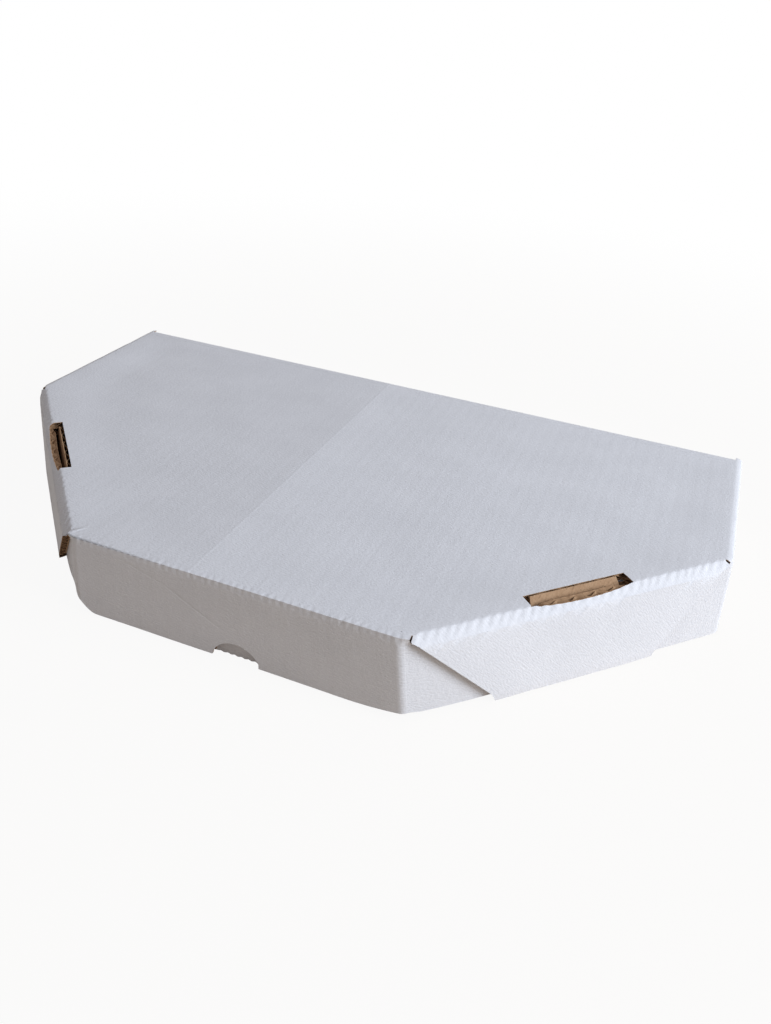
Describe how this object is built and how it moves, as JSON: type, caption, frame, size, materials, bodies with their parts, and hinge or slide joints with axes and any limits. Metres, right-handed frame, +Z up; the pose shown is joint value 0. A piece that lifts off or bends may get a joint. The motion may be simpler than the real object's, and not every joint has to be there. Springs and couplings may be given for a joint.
{
  "type": "calzone box",
  "caption": "Shallow hexagonal corrugated board box with a hinged full-depth lid, rolled slanted walls locked by tabs in slots, and a thumb notch in the front edge.",
  "frame": {"origin": "middle of the footprint, on the surface that the closed box stands on", "axes": "+X to the right along the back edge, +Y towards the hinge edge at the back, +Z up; the front wall faces -Y"},
  "size_m": [0.3464, 0.1994, 0.037],
  "materials": {
    "white_board": "matt white liner with the flutes showing faintly through it",
    "kraft_board": "matt brown kraft liner and bare fluted cut edges"
  },
  "bodies": {
    "tray": {"tray": "kraft_board"},
    "lid": {"lid": "white_board"}
  },
  "joints": [
    {"name": "lid_hinge", "type": "hinge", "parent": "tray", "child": "lid", "pos_m": [0, 0.09992, 0.03385], "axis": [-1, 0, 0], "range_deg": [0, 180]}
  ]
}
